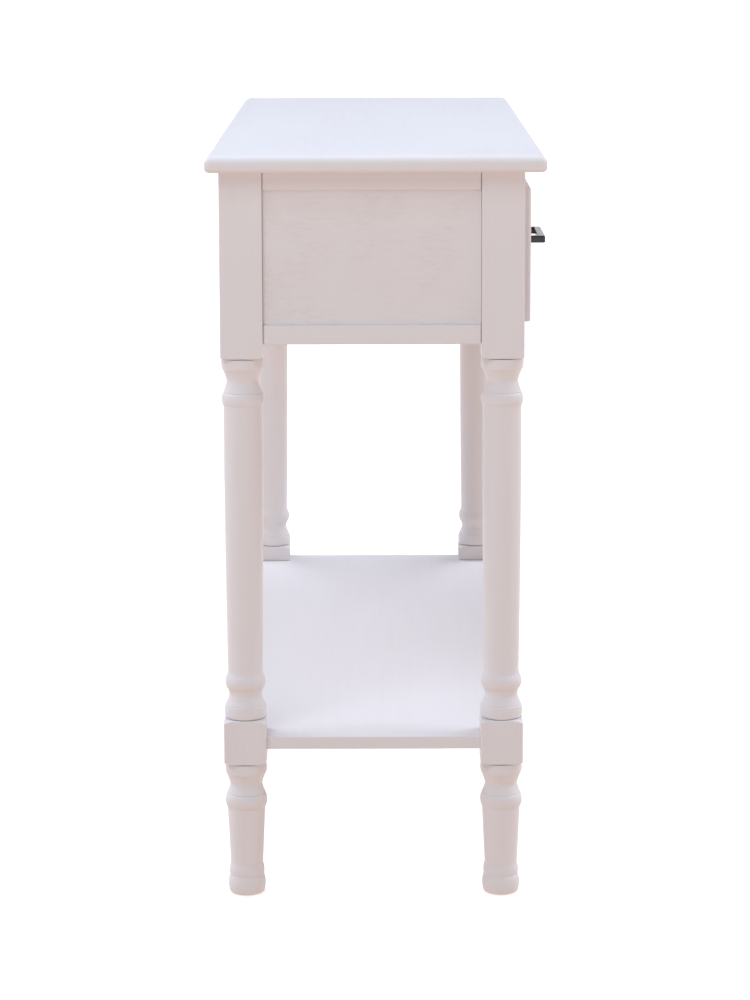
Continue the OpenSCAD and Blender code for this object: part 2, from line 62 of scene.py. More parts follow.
# Sizes of the visible detail
PAINTED_ARRIS = 1.1 * MM
SAWN_ARRIS = 0.5 * MM
PLY_ARRIS = 0.25 * MM
ARRIS_STEPS = 3
JOINT_CHAMFER = 0.42 * MM
JOINT_DEPTH = 2.4 * MM
JOINT_GAP = 0.25 * MM

# Angles in radians: edges shaded as sharp, edges that soften() rounds, and faces joined as one flat
SHARP_ANGLE = math.radians(32)
ARRIS_ANGLE = 0.6
FLAT_ANGLE = 0.01

# How far a cutter runs past the face it cuts, and how near counts as touching or as one point
PAST_FACE = 1 * MM
TOUCHING = 0.1 * MM
SAME_POINT = 0.005 * MM
SAME_RING_POINT = 0.002 * MM


# ---------- shader helpers ----------

def add_node(tree, kind, settings=None, **inputs):
    """A shader node. Each input is a value or another node's output, named with _ for spaces."""
    node = tree.nodes.new("ShaderNode" + kind)
    for key, value in (settings or {}).items():
        setattr(node, key, value)
    for key, value in inputs.items():
        connect(tree, node.inputs[key.replace("_", " ")], value)
    return node


def connect(tree, socket, value):
    """Links another node's output to a socket, or sets the socket's own value."""
    if isinstance(value, bpy.types.NodeSocket):
        tree.links.new(value, socket)
    else:
        socket.default_value = value


def new_material(name):
    """An empty node material: the material, its tree and its surface shader."""
    material = bpy.data.materials.new(name)
    material.use_nodes = True
    tree = material.node_tree
    return material, tree, tree.nodes["Principled BSDF"]


def object_place(tree):
    """The place on the object, in metres."""
    return add_node(tree, "TexCoord").outputs["Object"]


def stretched(tree, grain, along, across):
    """The place on the object, scaled so that a texture runs along one axis."""
    scale = [along if axis == grain else across for axis in "xyz"]
    return add_node(tree, "Mapping", Vector=object_place(tree), Scale=scale).outputs["Vector"]


def noise(tree, place, scale=1.0, detail=2.0, roughness=0.5, distortion=0.0):
    """Smooth noise between 0 and 1."""
    node = add_node(
        tree, "TexNoise", Vector=place, Scale=scale,
        Detail=detail, Roughness=roughness, Distortion=distortion,
    )
    return node.outputs["Fac"]


def spread(tree, value, low, high, to_low=0.0, to_high=1.0):
    """Maps the range low..high of a value onto to_low..to_high."""
    node = add_node(
        tree, "MapRange", Value=value,
        From_Min=low, From_Max=high, To_Min=to_low, To_Max=to_high,
    )
    return node.outputs["Result"]


def math_node(tree, operation, first, second):
    """One step of arithmetic on two values."""
    node = tree.nodes.new("ShaderNodeMath")
    node.operation = operation
    connect(tree, node.inputs[0], first)
    connect(tree, node.inputs[1], second)
    return node.outputs["Value"]


def blend_colours(tree, factor, first, second):
    """The first colour where the factor is 0, and the second where it is 1."""
    node = tree.nodes.new("ShaderNodeMix")
    node.data_type = "RGBA"
    connect(tree, node.inputs["Factor"], factor)
    connect(tree, node.inputs["A"], first)
    connect(tree, node.inputs["B"], second)
    return node.outputs["Result"]


def ramp(tree, factor, stops):
    """A colour ramp. Each stop is (position, colour)."""
    node = add_node(tree, "ValToRGB", Fac=factor)
    elements = node.color_ramp.elements
    while len(elements) < len(stops):
        elements.new(1.0)
    for element, (position, colour) in zip(elements, stops):
        element.position = position
        element.color = (*colour, 1.0)
    return node.outputs["Color"]


def bump(tree, height, distance, strength=1.0, normal=None):
    """A normal that follows a height, laid over another normal if there is one."""
    node = add_node(tree, "Bump", Height=height, Distance=distance, Strength=strength)
    if normal is not None:
        tree.links.new(normal, node.inputs["Normal"])
    return node.outputs["Normal"]


# How squarely a rounded normal faces the plain one, on a flat and on an arris
FACING_ON_FLAT = 0.995
FACING_ON_ARRIS = 0.86
EDGE_SAMPLES = 4


def edge_mask(tree, radius):
    """1 along the arrises and in tight corners, 0 on the flats."""
    rounded = add_node(tree, "Bevel", {"samples": EDGE_SAMPLES}, Radius=radius).outputs["Normal"]
    plain = add_node(tree, "NewGeometry").outputs["Normal"]
    facing = add_node(tree, "VectorMath", {"operation": "DOT_PRODUCT"})
    tree.links.new(rounded, facing.inputs[0])
    tree.links.new(plain, facing.inputs[1])
    return spread(tree, facing.outputs["Value"], FACING_ON_FLAT, FACING_ON_ARRIS)


def rgba(colour):
    """An opaque colour."""
    return (*colour, 1.0)


# ---------- materials ----------

PAINT = (0.805, 0.768, 0.770)
PAINT_THIN = (0.765, 0.722, 0.705)
# Darker, browner paint along the arrises and in tight corners: wear on the arrises, painted shade in
# the corners
PAINT_WORN_AND_SHADED = (0.700, 0.640, 0.600)
PAINT_WEAR_AND_SHADE_WIDTH = 1.6 * MM
PAINT_WEAR_AND_SHADE = 0.22
GRAIN_STRENGTH = 0.34
GRAIN_DEPTH = 0.05 * MM
PANEL_GRAIN_DEPTH = 0.2 * MM
PANEL_FLECK_DEPTH = 0.28 * MM
STIPPLE_DEPTH = 0.045 * MM


def white_paint(name, grain, grain_depth=GRAIN_DEPTH, fleck_depth=0):
    """Satin white paint, rolled over sanded wood whose grain runs along one axis. With a fleck
    depth, a veneer's open grain also shows through, in patches of short flecks."""
    material, tree, shader = new_material(name)
    place = object_place(tree)
    streaks = noise(tree, stretched(tree, grain, along=5, across=190), detail=5, roughness=0.62)
    broad = noise(tree, stretched(tree, grain, along=1.6, across=26), detail=3)
    stipple = noise(tree, place, scale=620, detail=2, roughness=0.6)
    clouds = noise(tree, place, scale=7, detail=3)

    thin = spread(tree, math_node(tree, "MULTIPLY", streaks, broad), 0.22, 0.46)
    thin = math_node(tree, "MULTIPLY", thin, GRAIN_STRENGTH)
    if fleck_depth:
        flecks = noise(tree, stretched(tree, grain, along=85, across=480), detail=3, roughness=0.7)
        patches = noise(tree, place, scale=16, detail=2)
        patches = spread(tree, patches, 0.42, 0.58, to_low=0.08, to_high=0.62)
        flecks = math_node(tree, "MULTIPLY", spread(tree, flecks, 0.48, 0.66), patches)
        thin = math_node(tree, "ADD", thin, flecks)
    colour = blend_colours(tree, thin, rgba(PAINT), rgba(PAINT_THIN))
    # Patches of darker, browner paint along the arrises, as wear, and in tight corners, as painted
    # shade
    edges = edge_mask(tree, PAINT_WEAR_AND_SHADE_WIDTH)
    wear_and_shade = spread(tree, clouds, 0.35, 0.7, to_high=PAINT_WEAR_AND_SHADE)
    worn_and_shaded = math_node(tree, "MULTIPLY", edges, wear_and_shade)
    colour = blend_colours(tree, worn_and_shaded, colour, rgba(PAINT_WORN_AND_SHADED))
    tree.links.new(colour, shader.inputs["Base Color"])

    uneven = math_node(tree, "ADD", clouds, streaks)
    sheen = spread(tree, uneven, 0.7, 1.35, to_low=0.42, to_high=0.56)
    tree.links.new(sheen, shader.inputs["Roughness"])
    shader.inputs["Specular IOR Level"].default_value = 0.42
    relief = bump(tree, stipple, STIPPLE_DEPTH, strength=0.8)
    relief = bump(tree, streaks, grain_depth, normal=relief)
    if fleck_depth:
        relief = bump(tree, flecks, -fleck_depth, normal=relief)
    tree.links.new(relief, shader.inputs["Normal"])
    return material


WOOD_RINGS = (
    (0.30, (0.66, 0.475, 0.285)),
    (0.46, (0.76, 0.595, 0.400)),
    (0.52, (0.60, 0.410, 0.230)),
    (0.60, (0.78, 0.625, 0.430)),
    (0.74, (0.70, 0.520, 0.320)),
)
WOOD_PORES = (0.52, 0.345, 0.19)
WOOD_SOIL = (0.46, 0.31, 0.18)
WOOD_SOIL_WIDTH = 1.2 * MM
WOOD_FIBRE_DEPTH = 0.12 * MM


def bare_wood(grain):
    """Sanded pine with soft growth rings, fine pores and a little dirt along its edges."""
    material, tree, shader = new_material("bare_wood_" + grain)
    rings = noise(tree, stretched(tree, grain, along=1.4, across=34), detail=2.5, distortion=0.9)
    fibres = noise(tree, stretched(tree, grain, along=9, across=520), detail=4, roughness=0.65)
    dark = spread(tree, fibres, 0.40, 0.68, to_high=0.32)
    colour = blend_colours(tree, dark, ramp(tree, rings, WOOD_RINGS), rgba(WOOD_PORES))
    soiled = math_node(tree, "MULTIPLY", edge_mask(tree, WOOD_SOIL_WIDTH), 0.35)
    colour = blend_colours(tree, soiled, colour, rgba(WOOD_SOIL))
    tree.links.new(colour, shader.inputs["Base Color"])
    sheen = spread(tree, fibres, 0.3, 0.7, to_low=0.62, to_high=0.80)
    tree.links.new(sheen, shader.inputs["Roughness"])
    shader.inputs["Specular IOR Level"].default_value = 0.3
    tree.links.new(bump(tree, fibres, WOOD_FIBRE_DEPTH), shader.inputs["Normal"])
    return material


BIRCH_FACE = (
    (0.32, (0.70, 0.555, 0.370)),
    (0.50, (0.80, 0.670, 0.480)),
    (0.70, (0.74, 0.600, 0.410)),
)
BIRCH_FLECKS = (0.55, 0.40, 0.25)
BIRCH_DARK_PLY = (0.50, 0.35, 0.21)
BIRCH_PALE_PLY = (0.80, 0.66, 0.46)
BIRCH_FIBRE_DEPTH = 0.07 * MM


def plywood():
    """Thin birch plywood: a pale face veneer, and plies that show along the edges."""
    material, tree, shader = new_material("plywood_birch")
    place = object_place(tree)
    flame = noise(tree, stretched(tree, "x", along=2.2, across=17), detail=3, distortion=1.6)
    fibres = noise(tree, stretched(tree, "x", along=12, across=430), detail=4, roughness=0.6)
    flecks = spread(tree, fibres, 0.45, 0.75, to_high=0.22)
    face = blend_colours(tree, flecks, ramp(tree, flame, BIRCH_FACE), rgba(BIRCH_FLECKS))
    layers = add_node(
        tree, "TexWave", {"wave_type": "BANDS", "bands_direction": "Z"},
        Vector=place, Scale=230.0, Distortion=0.4, Detail=1.0,
    ).outputs["Fac"]
    normal = add_node(tree, "NewGeometry").outputs["Normal"]
    upward = add_node(tree, "SeparateXYZ", Vector=normal).outputs["Z"]
    on_edge = spread(tree, math_node(tree, "ABSOLUTE", upward, 0.0), 0.7, 0.3)
    plies = blend_colours(tree, layers, rgba(BIRCH_DARK_PLY), rgba(BIRCH_PALE_PLY))
    tree.links.new(blend_colours(tree, on_edge, face, plies), shader.inputs["Base Color"])
    sheen = spread(tree, fibres, 0.3, 0.7, to_low=0.58, to_high=0.74)
    tree.links.new(sheen, shader.inputs["Roughness"])
    tree.links.new(bump(tree, fibres, BIRCH_FIBRE_DEPTH), shader.inputs["Normal"])
    return material


LACQUER_DARK = (0.014, 0.009, 0.008)
LACQUER_BROWN = (0.034, 0.022, 0.017)
# Lighter, warmer bronze along the edges: rubbed-through wear and painted glints
BRONZE_WEAR_AND_GLINT = (0.27, 0.175, 0.11)
PULL_WEAR_AND_GLINT_WIDTH = 1.2 * MM
DIMPLE_DEPTH = 0.05 * MM
BRUSH_DEPTH = 0.02 * MM


def pull_metal():
    """Glossy brown-black lacquer over steel, lighter bronze along the edges: partly rubbed-through
    wear, partly painted glints.
    """
    material, tree, shader = new_material("pull_dark_bronze")
    place = object_place(tree)
    dimples = noise(tree, place, scale=260, detail=3, roughness=0.55)
    brushed = noise(tree, stretched(tree, "x", along=30, across=1400), detail=3)
    patches = spread(tree, noise(tree, place, scale=45, detail=3), 0.35, 0.65)
    colour = blend_colours(tree, patches, rgba(LACQUER_DARK), rgba(LACQUER_BROWN))
    worn = spread(tree, dimples, 0.42, 0.66)
    # Lighter bronze along the edges and in tight corners: partly wear, partly painted glints
    wear_and_glint = math_node(tree, "MULTIPLY", edge_mask(tree, PULL_WEAR_AND_GLINT_WIDTH), worn)
    colour = blend_colours(tree, wear_and_glint, colour, rgba(BRONZE_WEAR_AND_GLINT))
    tree.links.new(colour, shader.inputs["Base Color"])
    sheen = spread(tree, brushed, 0.3, 0.7, to_low=0.20, to_high=0.34)
    tree.links.new(sheen, shader.inputs["Roughness"])
    shader.inputs["Specular IOR Level"].default_value = 0.25
    shader.inputs["Coat Weight"].default_value = 1.0
    shader.inputs["Coat IOR"].default_value = 1.3
    shader.inputs["Coat Roughness"].default_value = 0.12
    relief = bump(tree, dimples, DIMPLE_DEPTH)
    tree.links.new(bump(tree, brushed, BRUSH_DEPTH, normal=relief), shader.inputs["Normal"])
    return material


ZINC_DARK = (0.52, 0.53, 0.56)
ZINC_BRIGHT = (0.68, 0.69, 0.71)
ZINC_DIRT = (0.30, 0.29, 0.28)
ZINC_DIRT_WIDTH = 0.8 * MM
ZINC_STAIN_DEPTH = 0.03 * MM


def zinc_steel():
    """Zinc-plated steel with a faint spangle, stains, and dirt along its edges."""
    material, tree, shader = new_material("zinc_steel_plate")
    place = object_place(tree)
    spangle = add_node(tree, "TexVoronoi", Vector=place, Scale=900.0).outputs["Color"]
    cells = add_node(tree, "SeparateColor", Color=spangle).outputs["Red"]
    stains = noise(tree, place, scale=150, detail=3)
    shade = blend_colours(tree, cells, rgba(ZINC_DARK), rgba(ZINC_BRIGHT))
    stained = spread(tree, stains, 0.4, 0.6, to_low=0.2, to_high=0.7)
    dirt = math_node(tree, "MULTIPLY", edge_mask(tree, ZINC_DIRT_WIDTH), stained)
    colour = blend_colours(tree, dirt, shade, rgba(ZINC_DIRT))
    tree.links.new(colour, shader.inputs["Base Color"])
    shader.inputs["Metallic"].default_value = 1.0
    sheen = spread(tree, stains, 0.3, 0.7, to_low=0.28, to_high=0.46)
    tree.links.new(sheen, shader.inputs["Roughness"])
    tree.links.new(bump(tree, stains, ZINC_STAIN_DEPTH), shader.inputs["Normal"])
    return material


NYLON_DARK = (0.085, 0.085, 0.085)
NYLON_PALE = (0.135, 0.133, 0.13)
NYLON_SCUFFED = (0.26, 0.255, 0.25)
NYLON_SCUFF_WIDTH = 0.9 * MM
NYLON_GRIT_DEPTH = 0.05 * MM


def glide_plastic():
    """Matt black nylon, moulded with a fine texture and scuffed grey along its edges."""
    material, tree, shader = new_material("glide_nylon")
    place = object_place(tree)
    grit = noise(tree, place, scale=1500, detail=2)
    scuffs = noise(tree, place, scale=240, detail=4, distortion=1.2)
    scuffed = spread(tree, scuffs, 0.35, 0.6)
    worn = math_node(tree, "MULTIPLY", edge_mask(tree, NYLON_SCUFF_WIDTH), scuffed)
    faded = spread(tree, scuffs, 0.4, 0.7)
    colour = blend_colours(tree, faded, rgba(NYLON_DARK), rgba(NYLON_PALE))
    colour = blend_colours(tree, worn, colour, rgba(NYLON_SCUFFED))
    tree.links.new(colour, shader.inputs["Base Color"])
    sheen = spread(tree, scuffs, 0.3, 0.7, to_low=0.50, to_high=0.68)
    tree.links.new(sheen, shader.inputs["Roughness"])
    tree.links.new(bump(tree, grit, NYLON_GRIT_DEPTH), shader.inputs["Normal"])
    return material


FLOOR_DARK = (0.955, 0.94, 0.93)
FLOOR_PALE = (0.975, 0.96, 0.95)
WHITE = (1.0, 1.0, 1.0)
FLOOR_OWN_LIGHT = 0.5


def studio_floor():
    """Plain pale floor with a barely visible fibre. Its own light keeps it evenly white."""
    material, tree, shader = new_material("studio_floor")
    fibre = noise(tree, object_place(tree), scale=9, detail=4)
    colour = blend_colours(tree, fibre, rgba(FLOOR_DARK), rgba(FLOOR_PALE))
    tree.links.new(colour, shader.inputs["Base Color"])
    shader.inputs["Roughness"].default_value = 0.9
    shader.inputs["Specular IOR Level"].default_value = 0.0
    shader.inputs["Emission Color"].default_value = rgba(WHITE)
    shader.inputs["Emission Strength"].default_value = FLOOR_OWN_LIGHT
    return material


PAINT_ALONG = {axis: white_paint("white_paint_" + axis, axis) for axis in "xyz"}
PANEL_PAINT = white_paint("white_paint_panel", "y", PANEL_GRAIN_DEPTH, PANEL_FLECK_DEPTH)
WOOD_ALONG = {axis: bare_wood(axis) for axis in "xyz"}
PLYWOOD = plywood()
PULL_METAL = pull_metal()
ZINC = zinc_steel()
NYLON = glide_plastic()


# ---------- mesh helpers ----------

def add_piece(name, bm, node, material):
    """A piece made from bm. It rides with a CAD node's body and stands for that node."""
    bmesh.ops.recalc_face_normals(bm, faces=bm.faces)
    mesh = bpy.data.meshes.new(name)
    bm.to_mesh(mesh)
    bm.free()
    mesh.materials.append(material)
    mesh.polygons.foreach_set("use_smooth", [True] * len(mesh.polygons))
    mesh.set_sharp_from_angle(angle=SHARP_ANGLE)
    piece = bpy.data.objects.new(name, mesh)
    bpy.context.scene.collection.objects.link(piece)
    weighted = piece.modifiers.new("flat faces", "WEIGHTED_NORMAL")
    weighted.keep_sharp = True
    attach(piece, BODY_OF[node])
    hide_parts(node)


def add_box(bm, low, high):
    """A box between two corners."""
    size = Vector(high) - Vector(low)
    middle = (Vector(high) + Vector(low)) / 2
    place = Matrix.Translation(middle) @ Matrix.Diagonal((*size, 1.0))
    bmesh.ops.create_cube(bm, size=1.0, matrix=place)


def box_mesh(low, high):
    """A mesh that holds one box."""
    bm = bmesh.new()
    add_box(bm, low, high)
    return bm


def scratch_object(bm):
    """A passing object made from bm."""
    mesh = bpy.data.meshes.new("scratch")
    bm.to_mesh(mesh)
    bm.free()
    scratch = bpy.data.objects.new("scratch", mesh)
    bpy.context.scene.collection.objects.link(scratch)
    return scratch


def less(bm, cutter_bm):
    """The first solid less the second."""
    solid, cutter = scratch_object(bm), scratch_object(cutter_bm)
    modifier = solid.modifiers.new("cut", "BOOLEAN")
    modifier.operation = "DIFFERENCE"
    modifier.solver = "EXACT"
    modifier.use_self = True
    modifier.object = cutter
    result = bmesh.new()
    result.from_object(solid, bpy.context.evaluated_depsgraph_get())
    for scratch in (solid, cutter):
        mesh = scratch.data
        bpy.data.objects.remove(scratch)
        bpy.data.meshes.remove(mesh)
    bmesh.ops.remove_doubles(result, verts=result.verts, dist=SAME_POINT)
    return result


def round_edges(bm, edges, radius, steps):
    """Rounds the given edges, each with a number of facets."""
    bmesh.ops.bevel(
        bm, geom=edges, offset=radius, segments=steps, profile=0.5,
        affect="EDGES", clamp_overlap=True,
    )


def soften(bm, radius):
    """Rounds the outward arrises."""
    arrises = [
        e for e in bm.edges
        if e.is_manifold and e.is_convex and e.calc_face_angle() > ARRIS_ANGLE
    ]
    round_edges(bm, arrises, radius, ARRIS_STEPS)


def board_mesh(low, high, arris, cuts=()):
    """A board between two corners, with boxes cut out of it and its arrises rounded."""
    bm = box_mesh(low, high)
    if cuts:
        cutter = bmesh.new()
        for cut_low, cut_high in cuts:
            add_box(cutter, cut_low, cut_high)
        bm = less(bm, cutter)
        bmesh.ops.dissolve_limit(bm, angle_limit=FLAT_ANGLE, verts=bm.verts, edges=bm.edges)
    soften(bm, arris)
    return bm


def loft(rings):
    """A closed solid through rings of points, capped at both ends."""
    bm = bmesh.new()
    rows = [[bm.verts.new(point) for point in ring] for ring in rings]
    count = len(rows[0])
    for lower, upper in zip(rows, rows[1:]):
        for k in range(count):
            after = (k + 1) % count
            bm.faces.new((lower[k], lower[after], upper[after], upper[k]))
    bm.faces.new(list(reversed(rows[0])))
    bm.faces.new(rows[-1])
    bmesh.ops.remove_doubles(bm, verts=bm.verts, dist=SAME_RING_POINT)
    return bm


def merge(bm, other):
    """Adds another mesh to bm."""
    mesh = bpy.data.meshes.new("scratch")
    other.to_mesh(mesh)
    other.free()
    bm.from_mesh(mesh)
    bpy.data.meshes.remove(mesh)


def node_centre(node):
    """The middle of a node's box."""
    low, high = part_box(node)
    return (low + high) / 2


def circle(x, y, z, radius, sides):
    """Points around a level circle."""
    angles = [math.tau * k / sides for k in range(sides)]
    return [Vector((x + radius * math.cos(a), y + radius * math.sin(a), z)) for a in angles]


def quarter_turn(steps):
    """Angles from nothing to a quarter turn."""
    return [math.pi / 2 * i / steps for i in range(steps + 1)]


def turn_to_face(direction):
    """The turn that takes +Z to a direction."""
    return Vector((0, 0, 1)).rotation_difference(Vector(direction)).to_matrix().to_4x4()


def inflate(box, margin):
    """A node's box, larger by a margin on every side."""
    edge = Vector((margin, margin, margin))
    return box[0] - edge, box[1] + edge


# ---------- turned work ----------

TURNED_SIDES = 112
ARC_STEPS = 9


def arc(start, end, bulge, steps=ARC_STEPS):
    """Points from start up to, but not including, end. The bulge is positive outwards."""
    start, end = Vector(start), Vector(end)
    if bulge == 0:
        return [start]
    chord = end - start
    out = Vector((chord.y, -chord.x)).normalized() * math.copysign(1, bulge)
    rise = abs(bulge)
    radius = (chord.length_squared / 4 + rise * rise) / (2 * rise)
    half_angle = 2 * math.atan(2 * rise / chord.length)
    points = []
    for i in range(steps):
        turn = half_angle * (2 * i / steps - 1)
        along = chord.normalized() * radius * math.sin(turn)
        points.append((start + end) / 2 + along + out * (radius * math.cos(turn) - radius + rise))
    return points


def turned_outline(rows):
    """Points (radius, height) in metres from rows in millimetres of (height, radius, bulge above).
    The rims are chamfered, so that a dark line shows where the piece meets its neighbours."""
    outline = []
    for (height, radius, bulge), (next_height, next_radius, _) in zip(rows, rows[1:]):
        outline += arc((radius * MM, height * MM), (next_radius * MM, next_height * MM), bulge * MM)
    outline.append(Vector((rows[-1][1] * MM, rows[-1][0] * MM)))
    outline[0].y += JOINT_CHAMFER
    outline[-1].y -= JOINT_CHAMFER
    bottom = Vector((outline[0].x - JOINT_DEPTH, rows[0][0] * MM))
    top = Vector((outline[-1].x - JOINT_DEPTH, rows[-1][0] * MM))
    return [bottom, *outline, top]


def turned_mesh(x, y, z, outline):
    """A lathe-turned solid on an upright axis."""
    return loft([circle(x, y, z + height, radius, TURNED_SIDES) for radius, height in outline])


def column_rows(length):
    """Outline of a column in millimetres, from its block (height 0) to its post."""
    return [
        (0, 21.7, 0.7),
        (13, 21.9, 0),
        (13.7, 21.1, 0),
        (14.4, 21.3, -0.3),
        (24.3, 17.4, -0.4),
        (31.5, 19.3, 0),
        (32, 20.0, 2.1),
        (47.5, 19.2, 0),
        (51, 18.7, 0.6),
        (length - 51, 20.6, 1.7),
        (length - 37.6, 21.0, 0),
        (length - 36.8, 20.05, 0),
        (length - 36, 20.4, -0.3),
        (length - 24.5, 16.9, -0.5),
        (length - 12, 21.4, 0),
        (length - 11.6, 21.9, 0.7),
        (length, 22.2, 0),
    ]


def foot_rows(bottom, top):
    """Outline of a foot in millimetres, with heights from the floor."""
    return [
        (bottom, 16.5, 0.8),
        (4.5, 19.2, 1.2),
        (20.5, 18.8, 0),
        (20.9, 18.3, 0.8),
        (33, 17.9, 0),
        (35, 17.5, 0),
        (top - 50.5, 20.3, 1.8),
        (top - 35.4, 21.2, 0),
        (top - 34.6, 20.25, 0),
        (top - 33.8, 20.6, -0.2),
        (top - 24.2, 17.2, -0.3),
        (top - 12.4, 21.2, 0),
        (top - 12, 21.7, 0.8),
        (top, 21.7, 0),
    ]


def make_columns():
    """Turned columns between the blocks and the posts."""
    for corner in CORNERS:
        node = "column_" + corner
        low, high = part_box(node)
        axis = node_centre(node)
        outline = turned_outline(column_rows((high.z - low.z) / MM))
        bm = turned_mesh(axis.x, axis.y, low.z, outline)
        add_piece(node + "_turned", bm, node, PAINT_ALONG["z"])


def make_feet():
    """Turned feet under the blocks."""
    for corner in CORNERS:
        node = "foot_" + corner
        low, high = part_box(node)
        axis = node_centre(node)
        outline = turned_outline(foot_rows(low.z / MM, high.z / MM))
        bm = turned_mesh(axis.x, axis.y, 0.0, outline)
        add_piece(node + "_turned", bm, node, PAINT_ALONG["z"])


# ---------- square leg pieces with turned ends ----------

LEG_ARRIS = 1.2 * MM
LEG_END_ROUND = 1.6 * MM
NOTCH_GAP = 0.35 * MM
FLAT_STEPS = 4
CORNER_STEPS = 10

# Shoulders: (height at which the turning runs out, bulge of the turning)
POST_SHOULDER = (3 * MM, 0.7 * MM)
BLOCK_SHOULDER = (6 * MM, 1.8 * MM)
NO_SHOULDER = (0, 0)
SHOULDER_STEPS = 24

# Radius of the turning at a leg's end, and where it has passed the corners, over the half width
SHOULDER_END_RADIUS = 0.94
SHOULDER_FULL_RADIUS = 1.48


def leg_ring(x, y, z, half, radius):
    """One ring of a square leg. Radius is that of the turning that has cut its corners, or None."""
    centre = half - LEG_ARRIS
    whole = radius is None
    turn = math.atan2(centre, half) if whole else math.acos(min(1.0, half / radius))
    reach = half if whole else min(half, radius)
    ring = []
    for quarter in range(4):
        side = []
        for i in range(FLAT_STEPS):
            angle = turn * (2 * i / FLAT_STEPS - 1)
            side.append((reach, reach * math.tan(angle)))
        for i in range(CORNER_STEPS):
            if whole:
                angle = math.pi / 2 * i / CORNER_STEPS
                corner_across = centre + LEG_ARRIS * math.cos(angle)
                corner_up = centre + LEG_ARRIS * math.sin(angle)
                side.append((corner_across, corner_up))
            else:
                angle = turn + (math.pi / 2 - 2 * turn) * i / CORNER_STEPS
                side.append((radius * math.cos(angle), radius * math.sin(angle)))
        for across, up in side:
            spun = Matrix.Rotation(quarter * math.pi / 2, 2) @ Vector((across, up))
            ring.append(Vector((x + spun.x, y + spun.y, z)))
    return ring


def shoulder_rows(half, shoulder):
    """Rows of (height, half width, radius), from a leg's turned end to where the cut runs out."""
    run_out, bulge = shoulder
    if not run_out:
        return []
    end_radius = SHOULDER_END_RADIUS * half
    full_radius = SHOULDER_FULL_RADIUS * half
    corner = math.hypot(half, half - LEG_ARRIS)
    rows = [(0, half, end_radius - JOINT_DEPTH)]
    for point in arc((end_radius, 0.0), (full_radius, run_out), bulge, SHOULDER_STEPS):
        height = max(point.y, JOINT_CHAMFER)
        below = min(max(1 - (height - JOINT_CHAMFER) / LEG_END_ROUND, 0), 1)
        rounded = half - LEG_END_ROUND * (1 - math.sqrt(1 - below * below))
        if point.x < corner:
            rows.append((height, rounded, point.x))
    return rows


def square_leg_mesh(low, high, bottom_shoulder, top_shoulder):
    """A square leg piece whose corners are turned off towards its ends."""
    half = (high.x - low.x) / 2
    x, y = (low.x + high.x) / 2, (low.y + high.y) / 2
    rings = []
    for height, flat, radius in shoulder_rows(half, bottom_shoulder):
        rings.append(leg_ring(x, y, low.z + height, flat, radius))
    rings.append(leg_ring(x, y, low.z + bottom_shoulder[0], half, None))
    rings.append(leg_ring(x, y, high.z - top_shoulder[0], half, None))
    for height, flat, radius in reversed(shoulder_rows(half, top_shoulder)):
        rings.append(leg_ring(x, y, high.z - height, flat, radius))
    return loft(rings)


def make_posts():
    """Posts, turned off only where they meet the columns."""
    for corner in CORNERS:
        node = "post_" + corner
        low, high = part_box(node)
        bm = square_leg_mesh(low, high, POST_SHOULDER, NO_SHOULDER)
        add_piece(node + "_square", bm, node, PAINT_ALONG["z"])


def make_blocks():
    """Blocks, each notched for its corner of the shelf."""
    notch = inflate(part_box("shelf"), NOTCH_GAP)
    for corner in CORNERS:
        node = "block_" + corner
        low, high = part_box(node)
        bm = less(square_leg_mesh(low, high, BLOCK_SHOULDER, BLOCK_SHOULDER), box_mesh(*notch))
        add_piece(node + "_square", bm, node, PAINT_ALONG["z"])


# ---------- top ----------

TOP_UPPER_ROUND = 9.5 * MM
TOP_LOWER_ROUND = 5 * MM
TOP_CORNER = 6 * MM
TOP_LEAST_CORNER = 0.8 * MM
TOP_CORNER_LOSS = 0.6
ROUND_STEPS = 10


def plan_ring(low, high, inset, z):
    """A rectangle with rounded corners, set in from the edges of a board."""
    radius = max(TOP_CORNER - TOP_CORNER_LOSS * inset, TOP_LEAST_CORNER)
    corners = ((high.x, high.y), (low.x, high.y), (low.x, low.y), (high.x, low.y))
    ring = []
    for quarter, (x, y) in enumerate(corners):
        towards = Vector(((low.x + high.x) / 2 - x, (low.y + high.y) / 2 - y))
        centre_x = x + math.copysign(inset + radius, towards.x)
        centre_y = y + math.copysign(inset + radius, towards.y)
        for i in range(ROUND_STEPS + 1):
            angle = math.pi / 2 * (quarter + i / ROUND_STEPS)
            edge_x = centre_x + radius * math.cos(angle)
            edge_y = centre_y + radius * math.sin(angle)
            ring.append(Vector((edge_x, edge_y, z)))
    return ring


def make_top():
    """The top, with a small round under its edge and a large one over it."""
    low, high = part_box("table_top")
    rings = []
    for angle in quarter_turn(ROUND_STEPS):
        inset = TOP_LOWER_ROUND * (1 - math.sin(angle))
        rings.append(plan_ring(low, high, inset, low.z + TOP_LOWER_ROUND * (1 - math.cos(angle))))
    for angle in quarter_turn(ROUND_STEPS):
        inset = TOP_UPPER_ROUND * (1 - math.cos(angle))
        rings.append(plan_ring(low, high, inset, high.z - TOP_UPPER_ROUND * (1 - math.sin(angle))))
    add_piece("table_top_moulded", loft(rings), "table_top", PAINT_ALONG["x"])


# ---------- case ----------

TONGUE = 8 * MM
RAIL_ARRIS = 1.7 * MM


def trimmed(node, axis, amount):
    """A node's box, shorter by an amount at both ends of one axis."""
    low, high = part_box(node)
    low[axis] += amount
    high[axis] -= amount
    return low, high


